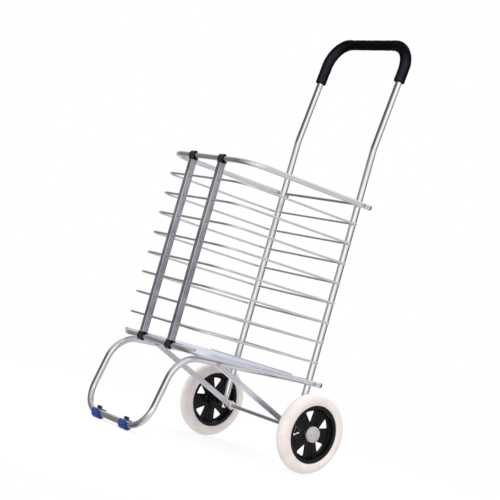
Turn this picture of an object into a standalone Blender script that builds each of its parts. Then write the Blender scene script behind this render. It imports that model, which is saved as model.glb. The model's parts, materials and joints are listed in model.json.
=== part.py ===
"""Folding two-wheeled shopping trolley: bent tube frame, wire basket that folds up, stand and wheels.

Metres, +Z up, floor at z = 0, front of the basket toward -Y. The pieces are laid out with the wheel axle
along X at y = 0, and the whole is then moved along Y so that its box is centred on the origin.
"""

import math

import bmesh
import bpy
from mathutils import Matrix, Vector

LEFT = -1
RIGHT = 1
SIDES = ((LEFT, "left"), (RIGHT, "right"))

GAP = 0.0004

WHEEL_R = 0.0877
AXLE_Z = WHEEL_R
AXLE_R = 0.004
AXLE_HALF = 0.1915

TUBE_R = 0.0075
TUBE_WALL = 0.0012
UPRIGHT_X = 0.132
UPRIGHT_FOOT = 0.011
KINK_Z = 0.7275
KINK_BEND = 0.110
HANDLE_LEAN = math.radians(6.6)
HANDLE_RUN = 0.2494
HANDLE_BEND = 0.058

GRIP_R = 0.0130
GRIP_BORE = TUBE_R + GAP
GRIP_DROP = 0.096

BASE_Z = 0.1920
TOP_Z = 0.5975
RUNG_COUNT = 8
RUNG_PITCH = (TOP_Z - BASE_Z) / (RUNG_COUNT + 1)
RUNG_R = 0.0025
RUNG_HOLE = RUNG_R + GAP
RUNG_FRONT_BEND = 0.038
RUNG_BACK_BEND = 0.006

RING_R = 0.006
RING_WALL = 0.001
RING_BEND = 0.050
RING_TAIL = 0.0245
ARM_X = 0.146
BASKET_DEPTH = 0.330

ROD_R = 0.003
ROD_HOLE = ROD_R + GAP
ROD_HEAD_R = 0.0044
ROD_HEAD = 0.0018
ROD_HEAD_X = ARM_X + RING_R + GAP

BAR_X = 0.0525
BAR_WIDTH = 0.012
BAR_DEPTH = 0.015
BAR_WALL = 0.0012
BAR_ROUND = 0.0022
BAR_END = 0.0102

CLIP_HALF = 0.0072
CLIP_BORE = RING_R + GAP
CLIP_R = 0.0098
CLIP_BLOCK_FROM = 0.004
CLIP_BLOCK_TO = 0.0098
CLIP_BLOCK_DEPTH = 0.0085
CLIP_MOUTH = 0.0036

SHEET = 0.0012
PLATE_SIDE = 0.1535
PLATE_TOP = 0.0075
PLATE_FOLD = 0.002
PLATE_LIP = 0.001
PLATE_FRONT = -0.322
PLATE_BACK = -0.065
SLOT_HALF = 0.008
SLOT_END = -0.282

RIVET_YS = (-0.197, -0.158)
RIVET_R = 0.0016
RIVET_HEAD_R = 0.0032
RIVET_HEAD = 0.0014
RIVET_REACH = 0.0075

STAND_R = 0.007
STAND_WALL = 0.0012
STAND_X = 0.117
STAND_BACK_Y = 0.009
STAND_KNEE = (-0.3465, 0.1782)
STAND_TOE = (-0.3825, 0.0130)
STAND_KNEE_BEND = 0.070
STAND_TOE_BEND = 0.054

FOOT_X = 0.0532
FOOT_HALF = 0.0105
FOOT_R = STAND_TOE[1]
FOOT_BORE = STAND_R + GAP
FOOT_MOUTH = 0.0042

BRACE_Y = -0.247
BRACE_Z = BASE_Z + (STAND_KNEE[1] - BASE_Z) * BRACE_Y / STAND_KNEE[0]
BRACE_HALF = 0.0064
BRACE_THICK = 0.0026
BRACE_X = STAND_X - STAND_R - GAP - BRACE_THICK / 2
BRACE_EYE_R = 0.0088
BOLT_R = 0.0025
BOLT_HEAD_R = 0.0050
BOLT_HEAD = 0.0034
NUT_R = 0.0052
NUT_THICK = 0.0042

SLEEVE_R = 0.0080
LOCK_NUT_R = 0.0108
LOCK_NUT_THICK = 0.0085
SPACER_R = 0.0068

WHEEL_X = 0.1813
HUB_RIM_R = 0.0636
HUB_RIM_IN = 0.0550
HUB_RIM_HALF = 0.0125
HUB_WEB_HALF = 0.003
HUB_BOSS_R = 0.0165
HUB_BOSS_IN = 0.0153
HUB_BOSS_OUT = 0.0062
HUB_BORE = AXLE_R + 0.0006
HUB_FILLET = 0.0015
SPOKES = 5
WINDOW_OUT = 0.0500
WINDOW_IN = 0.0225
WINDOW_HALF = 0.0135
WINDOW_ROUND = 0.0035
WINDOW_TURNS = {LEFT: 0.0, RIGHT: math.radians(20)}
TYRE_IN = 0.0641
TYRE_HALF = 0.0155
TYRE_SHOULDERS = ((0.0, 0.0056), (0.0024, 0.0106), (0.0080, 0.0145), (0.0145, 0.0155))
TYRE_FLANGE = 0.0138
CAP_R = 0.0173
CAP_FROM = HUB_BOSS_OUT + GAP
CAP_TO = 0.0150
CAP_ROUND = 0.0022
CAP_POCKET = AXLE_HALF - WHEEL_X + GAP

CENTRE_SHIFT_Y = (-STAND_TOE[0] + FOOT_R - WHEEL_R) / 2

ROUND_STEPS = 32
SMALL_STEPS = 16
HOLE_STEPS = 10
PIN_STEPS = 12
HEX_STEPS = 6
BEND_STEPS = 5
TUBE_RESOLUTION = 3
ROD_RESOLUTION = 2
SMOOTH_ANGLE = math.radians(35)
MERGE = 0.0001


def clear_scene():
    for obj in list(bpy.data.objects):
        bpy.data.objects.remove(obj, do_unlink=True)


def new_collection(name, hidden=False):
    collection = bpy.data.collections.new(name)
    collection.hide_render = hidden
    bpy.context.scene.collection.children.link(collection)
    return collection


def material(name, colour, metallic, roughness):
    made = bpy.data.materials.new(name)
    made.use_nodes = True
    shader = made.node_tree.nodes["Principled BSDF"]
    shader.inputs["Base Color"].default_value = (*colour, 1.0)
    shader.inputs["Metallic"].default_value = metallic
    shader.inputs["Roughness"].default_value = roughness
    made.diffuse_color = (*colour, 1.0)
    return made


def smooth(mesh):
    mesh.shade_smooth()
    mesh.set_sharp_from_angle(angle=SMOOTH_ANGLE)


def add_object(name, mesh, look=None, collection=None):
    obj = bpy.data.objects.new(name, mesh)
    (collection or PART).objects.link(obj)
    if look is not None:
        mesh.materials.append(look)
        smooth(mesh)
    return obj


def add_cutter(name, mesh):
    obj = add_object(name, mesh, collection=CUTTERS)
    obj.hide_render = True
    obj.display_type = "WIRE"
    return obj


def mesh_of(bm, name):
    bmesh.ops.recalc_face_normals(bm, faces=bm.faces)
    mesh = bpy.data.meshes.new(name)
    bm.to_mesh(mesh)
    bm.free()
    return mesh


def cut(obj, cutter):
    modifier = obj.modifiers.new("Cut", "BOOLEAN")
    modifier.operation = "DIFFERENCE"
    modifier.solver = "EXACT"
    modifier.object = cutter


def fillet(before, corner, after, radius, steps):
    """Points of the arc that rounds one corner of a path."""
    into = (before - corner).normalized()
    out = (after - corner).normalized()
    half = into.angle(out) / 2
    reach = radius / math.tan(half)
    centre = corner + (into + out).normalized() * radius / math.sin(half)
    start = corner + into * reach - centre
    axis = start.cross(corner + out * reach - centre).normalized()
    turn = math.pi - 2 * half
    return [centre + Matrix.Rotation(turn * i / steps, 3, axis) @ start for i in range(steps + 1)]


def rounded_path(corners, radii, steps, cyclic=False):
    """The corners joined by straight runs, with an arc of the given radius at each one that has a radius."""
    corners = [Vector(corner) for corner in corners]
    points = []
    for i, (corner, radius) in enumerate(zip(corners, radii)):
        at_end = not cyclic and i in (0, len(corners) - 1)
        if at_end or not radius:
            points.append(corner)
            continue
        after = corners[(i + 1) % len(corners)]
        points += fillet(corners[i - 1], corner, after, radius, steps)
    return points


def bevel_curve(name, points, radius, resolution, cyclic, caps):
    curve = bpy.data.curves.new(name, "CURVE")
    curve.dimensions = "3D"
    curve.bevel_depth = radius
    curve.bevel_resolution = resolution
    curve.use_fill_caps = caps
    spline = curve.splines.new("POLY")
    spline.points.add(len(points) - 1)
    for point, place in zip(spline.points, points):
        point.co = (*place, 1.0)
    spline.use_cyclic_u = cyclic
    return curve


def curve_mesh(name, points, radius, resolution, cyclic=False, caps=False):
    """The swept surface of a path as a mesh with its doubled points welded."""
    curve = bevel_curve(name, points, radius, resolution, cyclic, caps)
    guide = add_object(name + "_guide", curve)
    evaluated = guide.evaluated_get(bpy.context.evaluated_depsgraph_get())
    mesh = bpy.data.meshes.new_from_object(evaluated)
    bpy.data.objects.remove(guide)
    bm = bmesh.new()
    bm.from_mesh(mesh)
    bmesh.ops.remove_doubles(bm, verts=bm.verts, dist=MERGE / 10)
    bpy.data.meshes.remove(mesh)
    return mesh_of(bm, name)


def hollow_tube(name, points, radius, wall, look):
    obj = add_object(name, curve_mesh(name, points, radius, TUBE_RESOLUTION), look)
    shell = obj.modifiers.new("Wall", "SOLIDIFY")
    shell.thickness = wall
    shell.offset = -1.0
    shell.use_even_offset = True
    return obj


def solid_loop(name, points, radius, look):
    return add_object(name, curve_mesh(name, points, radius, ROD_RESOLUTION, cyclic=True), look)


def add_cylinder_x(bm, radius, x_from, x_to, y, z, steps):
    place = Matrix.Translation(((x_from + x_to) / 2, y, z)) @ Matrix.Rotation(math.pi / 2, 4, "Y")
    bmesh.ops.create_cone(
        bm,
        cap_ends=True,
        segments=steps,
        radius1=radius,
        radius2=radius,
        depth=abs(x_to - x_from),
        matrix=place,
    )


def add_box(bm, low, high):
    size = [b - a for a, b in zip(low, high)]
    centre = [(a + b) / 2 for a, b in zip(low, high)]
    place = Matrix.Translation(centre) @ Matrix.Diagonal((*size, 1.0))
    bmesh.ops.create_cube(bm, size=1.0, matrix=place)


def pin_cutter(name, pins, steps=HOLE_STEPS):
    """One cutter that holds a cylinder along X for each (radius, x from, x to, y, z)."""
    bm = bmesh.new()
    for radius, x_from, x_to, y, z in pins:
        add_cylinder_x(bm, radius, x_from, x_to, y, z, steps)
    return add_cutter(name, mesh_of(bm, name))


def turned(name, profile, steps, look, place, closed=True):
    """A profile of (radius, height) turned about X, with its height toward +X, at the given place."""
    mesh = bpy.data.meshes.new(name)
    points = [(radius, 0.0, height) for radius, height in profile]
    edges = [(i, i + 1) for i in range(len(points) - 1)]
    if closed:
        edges.append((len(points) - 1, 0))
    mesh.from_pydata(points, edges, [])
    obj = add_object(name, mesh)
    screw = obj.modifiers.new("Turn", "SCREW")
    screw.axis = "Z"
    screw.steps = steps
    screw.render_steps = steps
    screw.use_merge_vertices = True
    screw.merge_threshold = MERGE
    screw.use_smooth_shade = steps > HEX_STEPS
    mesh.materials.append(look)
    obj.location = place
    obj.rotation_euler = (0.0, math.pi / 2, 0.0)
    return obj


def set_origin(obj, place):
    """Moves an object's origin to its joint axis and leaves its shape where it is."""
    obj.data.transform(Matrix.Translation(obj.location - Vector(place)))
    obj.location = place


def face_out(obj, side):
    """Turns a piece made for the +X side round Z for the -X side."""
    if side == LEFT:
        obj.rotation_euler = (0.0, -math.pi / 2, 0.0)


def rung_z(number):
    return BASE_Z + RUNG_PITCH * number


def handle_corners(foot_z):
    rise = Vector((0.0, math.sin(HANDLE_LEAN), math.cos(HANDLE_LEAN))) * HANDLE_RUN
    kink = Vector((UPRIGHT_X, 0.0, KINK_Z))
    top = kink + rise
    right = [Vector((UPRIGHT_X, 0.0, foot_z)), kink, top]
    left = [Vector((-point.x, point.y, point.z)) for point in reversed(right)]
    return right + left


def build_handle_frame():
    corners = handle_corners(AXLE_Z - UPRIGHT_FOOT)
    radii = (0, KINK_BEND, HANDLE_BEND, HANDLE_BEND, KINK_BEND, 0)
    points = rounded_path(corners, radii, BEND_STEPS)
    frame = hollow_tube("handle_frame", points, TUBE_R, TUBE_WALL, ALUMINIUM)
    reach = UPRIGHT_X + 2 * TUBE_R
    pins = [(RUNG_HOLE, -reach, reach, 0.0, rung_z(n)) for n in range(1, RUNG_COUNT + 1)]
    pins += [(ROD_HOLE, -reach, reach, 0.0, z) for z in (BASE_Z, TOP_Z)]
    pins.append((AXLE_R + GAP, -reach, reach, 0.0, AXLE_Z))
    cut(frame, pin_cutter("frame_holes", pins))


def build_grip():
    corners = handle_corners(AXLE_Z)[1:5]
    drop = (corners[0] - corners[1]).normalized() * GRIP_DROP
    path = [corners[1] + drop, corners[1], corners[2], corners[2] + drop]
    points = rounded_path(path, (0, HANDLE_BEND, HANDLE_BEND, 0), BEND_STEPS)
    hollow_tube("foam_grip", points, GRIP_R, GRIP_R - GRIP_BORE, FOAM)


def basket_corners(z):
    """The path of a basket ring, from one tail round the front to the other tail."""
    return [
        (ARM_X, RING_TAIL, z),
        (ARM_X, -BASKET_DEPTH, z),
        (-ARM_X, -BASKET_DEPTH, z),
        (-ARM_X, RING_TAIL, z),
    ]


def build_ring(name, z, extra_pins):
    points = rounded_path(basket_corners(z), (0, RING_BEND, RING_BEND, 0), BEND_STEPS)
    ring = hollow_tube(name, points, RING_R, RING_WALL, ALUMINIUM)
    low = ARM_X - 2 * RING_R
    high = ARM_X + 2 * RING_R
    pins = [(ROD_HOLE, side * low, side * high, 0.0, z) for side, _ in SIDES]
    cut(ring, pin_cutter(name + "_holes", pins + extra_pins))
    set_origin(ring, (0.0, 0.0, z))


def build_rung(number):
    z = rung_z(number)
    corners = [
        (ARM_X, 0.0, z),
        (ARM_X, -BASKET_DEPTH, z),
        (-ARM_X, -BASKET_DEPTH, z),
        (-ARM_X, 0.0, z),
    ]
    radii = (RUNG_BACK_BEND, RUNG_FRONT_BEND, RUNG_FRONT_BEND, RUNG_BACK_BEND)
    points = rounded_path(corners, radii, 3, cyclic=True)
    rung = solid_loop(f"rung_{number}", points, RUNG_R, WIRE)
    set_origin(rung, (0.0, 0.0, z))


def build_cross_rod(name, z):
    """A pivot rod through both uprights and both ring arms, with a flat head at each end."""
    half = ROD_HEAD_X
    end = half + ROD_HEAD
    profile = [
        (0.0, end),
        (ROD_HEAD_R * 0.6, end),
        (ROD_HEAD_R, half + ROD_HEAD * 0.5),
        (ROD_HEAD_R, half),
        (ROD_R, half),
        (ROD_R, -half),
        (ROD_HEAD_R, -half),
        (ROD_HEAD_R, -half - ROD_HEAD * 0.5),
        (ROD_HEAD_R * 0.6, -end),
        (0.0, -end),
    ]
    turned(name, profile, PIN_STEPS, STEEL, (0.0, 0.0, z), closed=False)


def rounded_rectangle(half_x, half_y, radius, steps):
    points = []
    for quarter, (sx, sy) in enumerate(((1, 1), (-1, 1), (-1, -1), (1, -1))):
        for i in range(steps + 1):
            angle = (quarter + i / steps) * math.pi / 2
            x = sx * (half_x - radius) + radius * math.cos(angle)
            y = sy * (half_y - radius) + radius * math.sin(angle)
            points.append((x, y))
    return points


def add_sleeve(bm, outer, inner, z_from, z_to):
    """The walls and end faces between an outer and an inner loop of (x, y) points."""
    loops = []
    for loop in (outer, inner):
        for z in (z_from, z_to):
            loops.append([bm.verts.new((x, y, z)) for x, y in loop])
    count = len(outer)
    for first, second in ((0, 1), (3, 2), (2, 0), (1, 3)):
        for i in range(count):
            j = (i + 1) % count
            bm.faces.new((loops[first][i], loops[first][j], loops[second][j], loops[second][i]))


def build_bar(side, word):
    bm = bmesh.new()
    outer = rounded_rectangle(BAR_WIDTH / 2, BAR_DEPTH / 2, BAR_ROUND, 2)
    inner = rounded_rectangle(
        BAR_WIDTH / 2 - BAR_WALL, BAR_DEPTH / 2 - BAR_WALL, BAR_ROUND - BAR_WALL, 2
    )
    add_sleeve(bm, outer, inner, BASE_Z + BAR_END, TOP_Z - BAR_END)
    bmesh.ops.translate(bm, verts=bm.verts, vec=(side * BAR_X, -BASKET_DEPTH, 0.0))
    bar = add_object(f"front_bar_{word}", mesh_of(bm, f"front_bar_{word}"), ALUMINIUM)
    low = side * BAR_X - BAR_WIDTH
    high = side * BAR_X + BAR_WIDTH
    pins = [(RUNG_HOLE, low, high, -BASKET_DEPTH, rung_z(n)) for n in range(1, RUNG_COUNT + 1)]
    cut(bar, pin_cutter(f"front_bar_{word}_holes", pins))
    set_origin(bar, (0.0, -BASKET_DEPTH, BASE_Z))


def build_clip(name, x, z, toward_bar):
    """A C-shaped clip round a ring tube, open toward the back, with a block that carries the bar's end."""
    bm = bmesh.new()
    add_cylinder_x(bm, CLIP_R, x - CLIP_HALF, x + CLIP_HALF, -BASKET_DEPTH, z, SMALL_STEPS)
    clip = add_object(name, mesh_of(bm, name), BLACK_PLASTIC)
    block = bmesh.new()
    near = z + toward_bar * CLIP_BLOCK_FROM
    far = z + toward_bar * CLIP_BLOCK_TO
    inset = CLIP_HALF - GAP / 4
    low = (x - inset, -BASKET_DEPTH - CLIP_BLOCK_DEPTH, min(near, far))
    high = (x + inset, -BASKET_DEPTH + CLIP_BLOCK_DEPTH, max(near, far))
    add_box(block, low, high)
    body = add_cutter(name + "_block", mesh_of(block, name + "_block"))
    joined = clip.modifiers.new("Block", "BOOLEAN")
    joined.operation = "UNION"
    joined.solver = "EXACT"
    joined.object = body
    reach = 2 * CLIP_HALF
    bore = [(CLIP_BORE, x - reach, x + reach, -BASKET_DEPTH, z)]
    cut(clip, pin_cutter(name + "_bore", bore, SMALL_STEPS))
    mouth = bmesh.new()
    low = (x - reach, -BASKET_DEPTH, z - CLIP_MOUTH)
    high = (x + reach, -BASKET_DEPTH + 2 * CLIP_R, z + CLIP_MOUTH)
    add_box(mouth, low, high)
    cut(clip, add_cutter(name + "_mouth", mesh_of(mouth, name + "_mouth")))
    set_origin(clip, (0.0, -BASKET_DEPTH, BASE_Z))


def build_plate():
    """The floor of the basket: a sheet laid over the ring's arms, folded down outside them."""
    bm = bmesh.new()
    side = PLATE_SIDE
    section = [
        (-side, -PLATE_LIP),
        (-side, PLATE_TOP - PLATE_FOLD),
        (-side + PLATE_FOLD, PLATE_TOP),
        (side - PLATE_FOLD, PLATE_TOP),
        (side, PLATE_TOP - PLATE_FOLD),
        (side, -PLATE_LIP),
    ]
    rows = []
    for y in (PLATE_FRONT, PLATE_BACK):
        rows.append([bm.verts.new((x, y, BASE_Z + z)) for x, z in section])
    for i in range(len(section) - 1):
        bm.faces.new((rows[0][i], rows[0][i + 1], rows[1][i + 1], rows[1][i]))
    mesh = bpy.data.meshes.new("base_plate")
    bm.normal_update()
    bm.to_mesh(mesh)
    bm.free()
    plate = add_object("base_plate", mesh, SHEET_METAL)
    sheet = plate.modifiers.new("Sheet", "SOLIDIFY")
    sheet.thickness = SHEET
    sheet.offset = 1.0 if mesh.polygons[2].normal.z < 0 else -1.0
    sheet.use_even_offset = True
    clear = bmesh.new()
    low_z = BASE_Z - 2 * PLATE_TOP
    high_z = BASE_Z + 2 * PLATE_TOP
    for word_side, _ in SIDES:
        middle = word_side * BAR_X
        low = (middle - SLOT_HALF, 2 * PLATE_FRONT, low_z)
        add_box(clear, low, (middle + SLOT_HALF, SLOT_END, high_z))
    cut(plate, add_cutter("plate_clearance", mesh_of(clear, "plate_clearance")))
    cut(plate, pin_cutter("plate_rivet_holes", rivet_pins()))
    set_origin(plate, (0.0, 0.0, BASE_Z))


def rivet_pins():
    low = PLATE_SIDE - RIVET_REACH
    high = PLATE_SIDE + RIVET_REACH
    return [(RIVET_R + GAP, side * low, side * high, y, BASE_Z) for side, _ in SIDES for y in RIVET_YS]


def build_rivets():
    for side, word in SIDES:
        for number, y in enumerate(RIVET_YS, 1):
            profile = [
                (0.0, RIVET_HEAD),
                (RIVET_HEAD_R * 0.7, RIVET_HEAD * 0.8),
                (RIVET_HEAD_R, 0.0),
                (RIVET_R, 0.0),
                (RIVET_R, -RIVET_REACH),
                (0.0, -RIVET_REACH),
            ]
            place = (side * (PLATE_SIDE + GAP), y, BASE_Z)
            rivet = turned(
                f"plate_rivet_{word}_{number}", profile, PIN_STEPS, STEEL, place, closed=False
            )
            face_out(rivet, side)


def build_stand():
    knee_y, knee_z = STAND_KNEE
    toe_y, toe_z = STAND_TOE
    slope = (knee_z - BASE_Z) / knee_y
    end_z = BASE_Z + slope * STAND_BACK_Y
    right = [
        (STAND_X, STAND_BACK_Y, end_z),
        (STAND_X, knee_y, knee_z),
        (STAND_X, toe_y, toe_z),
    ]
    left = [(-x, y, z) for x, y, z in reversed(right)]
    radii = (0, STAND_KNEE_BEND, STAND_TOE_BEND, STAND_TOE_BEND, STAND_KNEE_BEND, 0)
    points = rounded_path(right + left, radii, BEND_STEPS)
    stand = hollow_tube("stand_loop", points, STAND_R, STAND_WALL, ALUMINIUM)
    low = STAND_X - 2 * STAND_R
    high = STAND_X + 2 * STAND_R
    pins = []
    for side, _ in SIDES:
        pins.append((ROD_HOLE, side * low, side * high, 0.0, BASE_Z))
        pins.append((BOLT_R + GAP, side * low, side * high, BRACE_Y, BRACE_Z))
    cut(stand, pin_cutter("stand_holes", pins))


def build_foot(side, word):
    """A plastic shoe clipped round the floor tube, open on top."""
    name = f"foot_{word}"
    x = side * FOOT_X
    y, z = STAND_TOE
    bm = bmesh.new()
    add_cylinder_x(bm, FOOT_R, x - FOOT_HALF, x + FOOT_HALF, y, z, SMALL_STEPS)
    foot = add_object(name, mesh_of(bm, name), BLUE_PLASTIC)
    reach = 2 * FOOT_HALF
    cut(foot, pin_cutter(name + "_bore", [(FOOT_BORE, x - reach, x + reach, y, z)], SMALL_STEPS))
    mouth = bmesh.new()
    add_box(mouth, (x - reach, y - FOOT_MOUTH, z), (x + reach, y + FOOT_MOUTH, z + 2 * FOOT_R))
    cut(foot, add_cutter(name + "_mouth", mesh_of(mouth, name + "_mouth")))


def build_brace(side, word):
    """A flat bar with a rounded end, bolted to the stand arm and threaded on the axle."""
    name = f"brace_{word}"
    top = Vector((0.0, BRACE_Y, BRACE_Z))
    foot = Vector((0.0, 0.0, AXLE_Z))
    run = (foot - top).normalized()
    across = Vector((0.0, -run.z, run.y))
    outline = []
    for centre, radius, start in ((top, BRACE_HALF, 1), (foot, BRACE_EYE_R, -1)):
        for i in range(9):
            angle = math.pi * i / 8
            outline.append(centre + start * radius * (across * math.cos(angle) - run * math.sin(angle)))
    bm = bmesh.new()
    x_low = side * BRACE_X - BRACE_THICK / 2
    verts = [bm.verts.new((x_low, point.y, point.z)) for point in outline]
    face = bm.faces.new(verts)
    grown = bmesh.ops.extrude_face_region(bm, geom=[face])
    moved = [item for item in grown["geom"] if isinstance(item, bmesh.types.BMVert)]
    bmesh.ops.translate(bm, verts=moved, vec=(BRACE_THICK, 0.0, 0.0))
    brace = add_object(name, mesh_of(bm, name), ALUMINIUM)
    low = side * (BRACE_X - 2 * BRACE_THICK)
    high = side * (BRACE_X + 2 * BRACE_THICK)
    pins = [
        (BOLT_R + GAP, low, high, BRACE_Y, BRACE_Z),
        (AXLE_R + GAP, low, high, 0.0, AXLE_Z),
    ]
    cut(brace, pin_cutter(name + "_holes", pins))


def washer_profile(outer, pin_r, steps, x_from, x_to):
    """A ring's profile, with its bore wide enough that its flats clear the pin."""
    bore = (pin_r + GAP) / math.cos(math.pi / steps)
    return [(outer, x_to), (outer, x_from), (bore, x_from), (bore, x_to)]


def build_brace_fixing(side, word):
    """The bolt through the stand arm and the brace, with its head outside and a nut inside."""
    head_from = STAND_R + GAP
    shank_to = BRACE_X - BRACE_THICK / 2 - NUT_THICK - 2 * GAP - STAND_X
    profile = [
        (0.0, head_from + BOLT_HEAD * 0.4),
        (BOLT_HEAD_R, head_from + BOLT_HEAD * 0.1),
        (BOLT_HEAD_R, head_from),
        (BOLT_R, head_from),
        (BOLT_R, shank_to),
        (0.0, shank_to),
    ]
    place = (side * STAND_X, BRACE_Y, BRACE_Z)
    bolt = turned(f"brace_bolt_{word}", profile, PIN_STEPS, STEEL, place, closed=False)
    face_out(bolt, side)
    inner = BRACE_X - BRACE_THICK / 2 - GAP - STAND_X
    nut_profile = washer_profile(NUT_R, BOLT_R, HEX_STEPS, inner - NUT_THICK, inner)
    nut = turned(f"brace_nut_{word}", nut_profile, HEX_STEPS, STEEL, place)
    face_out(nut, side)


def build_axle():
    bm = bmesh.new()
    add_cylinder_x(bm, AXLE_R, -AXLE_HALF, AXLE_HALF, 0.0, AXLE_Z, SMALL_STEPS)
    add_object("axle", mesh_of(bm, "axle"), STEEL)


def build_axle_fixings(side, word):
    """The sleeve between brace and upright, the lock nut inside the brace and the spacer beside the wheel."""
    place = (0.0, 0.0, AXLE_Z)
    brace_in = BRACE_X - BRACE_THICK / 2 - GAP
    brace_out = BRACE_X + BRACE_THICK / 2 + GAP
    upright_in = UPRIGHT_X - TUBE_R - GAP
    upright_out = UPRIGHT_X + TUBE_R + GAP
    boss_in = WHEEL_X - HUB_BOSS_IN - GAP
    pieces = (
        ("axle_sleeve", SLEEVE_R, brace_out, upright_in, SMALL_STEPS, ALUMINIUM),
        ("axle_nut", LOCK_NUT_R, brace_in - LOCK_NUT_THICK, brace_in, HEX_STEPS, STEEL),
        ("wheel_spacer", SPACER_R, upright_out, boss_in, SMALL_STEPS, BLACK_PLASTIC),
    )
    for stem, radius, x_from, x_to, steps, look in pieces:
        profile = washer_profile(radius, AXLE_R, steps, x_from, x_to)
        piece = turned(f"{stem}_{word}", profile, steps, look, place)
        face_out(piece, side)


def window_cutter(name, side):
    """The hub's windows: rounded triangles, each with its point toward the axle."""
    bm = bmesh.new()
    half_x = 2 * HUB_WEB_HALF
    corners = [
        Vector((0.0, 0.0, WINDOW_IN)),
        Vector((0.0, WINDOW_HALF, WINDOW_OUT)),
        Vector((0.0, -WINDOW_HALF, WINDOW_OUT)),
    ]
    outline = rounded_path(corners, (WINDOW_ROUND * 0.6, WINDOW_ROUND, WINDOW_ROUND), 3, cyclic=True)
    for spoke in range(SPOKES):
        turn = Matrix.Rotation(WINDOW_TURNS[side] + math.tau * spoke / SPOKES, 3, "X")
        verts = []
        for point in outline:
            place = turn @ point
            verts.append(bm.verts.new((side * WHEEL_X - half_x, place.y, place.z + AXLE_Z)))
        face = bm.faces.new(verts)
        grown = bmesh.ops.extrude_face_region(bm, geom=[face])
        moved = [item for item in grown["geom"] if isinstance(item, bmesh.types.BMVert)]
        bmesh.ops.translate(bm, verts=moved, vec=(2 * half_x, 0.0, 0.0))
    return add_cutter(name, mesh_of(bm, name))


def build_wheel(side, word):
    place = (side * WHEEL_X, 0.0, AXLE_Z)
    rim = HUB_RIM_HALF
    web = HUB_WEB_HALF
    hub_profile = [
        (HUB_RIM_R, rim),
        (HUB_RIM_R, -rim),
        (HUB_RIM_IN, -rim),
        (HUB_RIM_IN - HUB_FILLET, -web),
        (HUB_BOSS_R + HUB_FILLET, -web),
        (HUB_BOSS_R, -HUB_BOSS_IN),
        (HUB_BORE, -HUB_BOSS_IN),
        (HUB_BORE, HUB_BOSS_OUT),
        (HUB_BOSS_R, HUB_BOSS_OUT),
        (HUB_BOSS_R + HUB_FILLET, web),
        (HUB_RIM_IN - HUB_FILLET, web),
        (HUB_RIM_IN, rim),
    ]
    hub = turned(f"hub_{word}", hub_profile, ROUND_STEPS, GLOSS_BLACK, place)
    face_out(hub, side)
    cut(hub, window_cutter(f"hub_{word}_windows", side))
    inner = [(WHEEL_R - drop, -half) for drop, half in TYRE_SHOULDERS] + [(TYRE_IN, -TYRE_FLANGE)]
    outer = [(radius, -height) for radius, height in reversed(inner)]
    tyre = turned(f"tyre_{word}", inner + outer, ROUND_STEPS, TYRE_RUBBER, place)
    face_out(tyre, side)
    cap_profile = [
        (0.0, CAP_TO),
        (CAP_R - CAP_ROUND, CAP_TO),
        (CAP_R, CAP_TO - CAP_ROUND),
        (CAP_R, CAP_FROM),
        (HUB_BORE, CAP_FROM),
        (HUB_BORE, CAP_POCKET),
        (0.0, CAP_POCKET),
    ]
    cap = turned(f"hub_cap_{word}", cap_profile, ROUND_STEPS, GREY_PLASTIC, place, closed=False)
    face_out(cap, side)


def centre_whole():
    for obj in list(PART.objects) + list(CUTTERS.objects):
        obj.location.y += CENTRE_SHIFT_Y


def main():
    build_handle_frame()
    build_grip()
    build_cross_rod("top_cross_rod", TOP_Z)
    build_cross_rod("bottom_cross_rod", BASE_Z)
    build_ring("top_ring", TOP_Z, [])
    build_ring("bottom_ring", BASE_Z, rivet_pins())
    for number in range(1, RUNG_COUNT + 1):
        build_rung(number)
    for side, word in SIDES:
        build_bar(side, word)
        build_clip(f"clip_top_{word}", side * BAR_X, TOP_Z, -1)
        build_clip(f"clip_bottom_{word}", side * BAR_X, BASE_Z, 1)
        build_foot(side, word)
        build_brace(side, word)
        build_brace_fixing(side, word)
        build_axle_fixings(side, word)
        build_wheel(side, word)
    build_plate()
    build_rivets()
    build_stand()
    build_axle()
    centre_whole()


clear_scene()
PART = new_collection("shopping_trolley")
CUTTERS = new_collection("cutters", hidden=True)
ALUMINIUM = material("aluminium", (0.78, 0.79, 0.81), 1.0, 0.28)
WIRE = material("aluminium_wire", (0.74, 0.75, 0.77), 1.0, 0.30)
SHEET_METAL = material("satin_sheet", (0.72, 0.74, 0.80), 1.0, 0.40)
STEEL = material("steel", (0.55, 0.56, 0.58), 1.0, 0.30)
FOAM = material("black_foam", (0.012, 0.012, 0.013), 0.0, 0.90)
BLACK_PLASTIC = material("black_plastic", (0.015, 0.015, 0.017), 0.0, 0.45)
BLUE_PLASTIC = material("blue_plastic", (0.03, 0.10, 0.42), 0.0, 0.40)
GLOSS_BLACK = material("gloss_black", (0.012, 0.012, 0.013), 0.0, 0.20)
TYRE_RUBBER = material("pale_tyre", (0.78, 0.74, 0.71), 0.0, 0.65)
GREY_PLASTIC = material("grey_plastic", (0.52, 0.53, 0.54), 0.0, 0.40)
main()
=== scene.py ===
"""The looks of a folding two-wheeled shopping trolley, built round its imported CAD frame.

Metres, +Z up, floor at z = 0, basket front toward -Y. Places come from the CAD nodes and joints; the sizes
of sections, bends and small details are the named values below.
"""

import json
from itertools import product
from math import asin, atan2, ceil, copysign, cos, pi, radians, sin, sqrt, tan, tau

import bmesh
import bpy
from mathutils import Matrix, Vector


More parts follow.
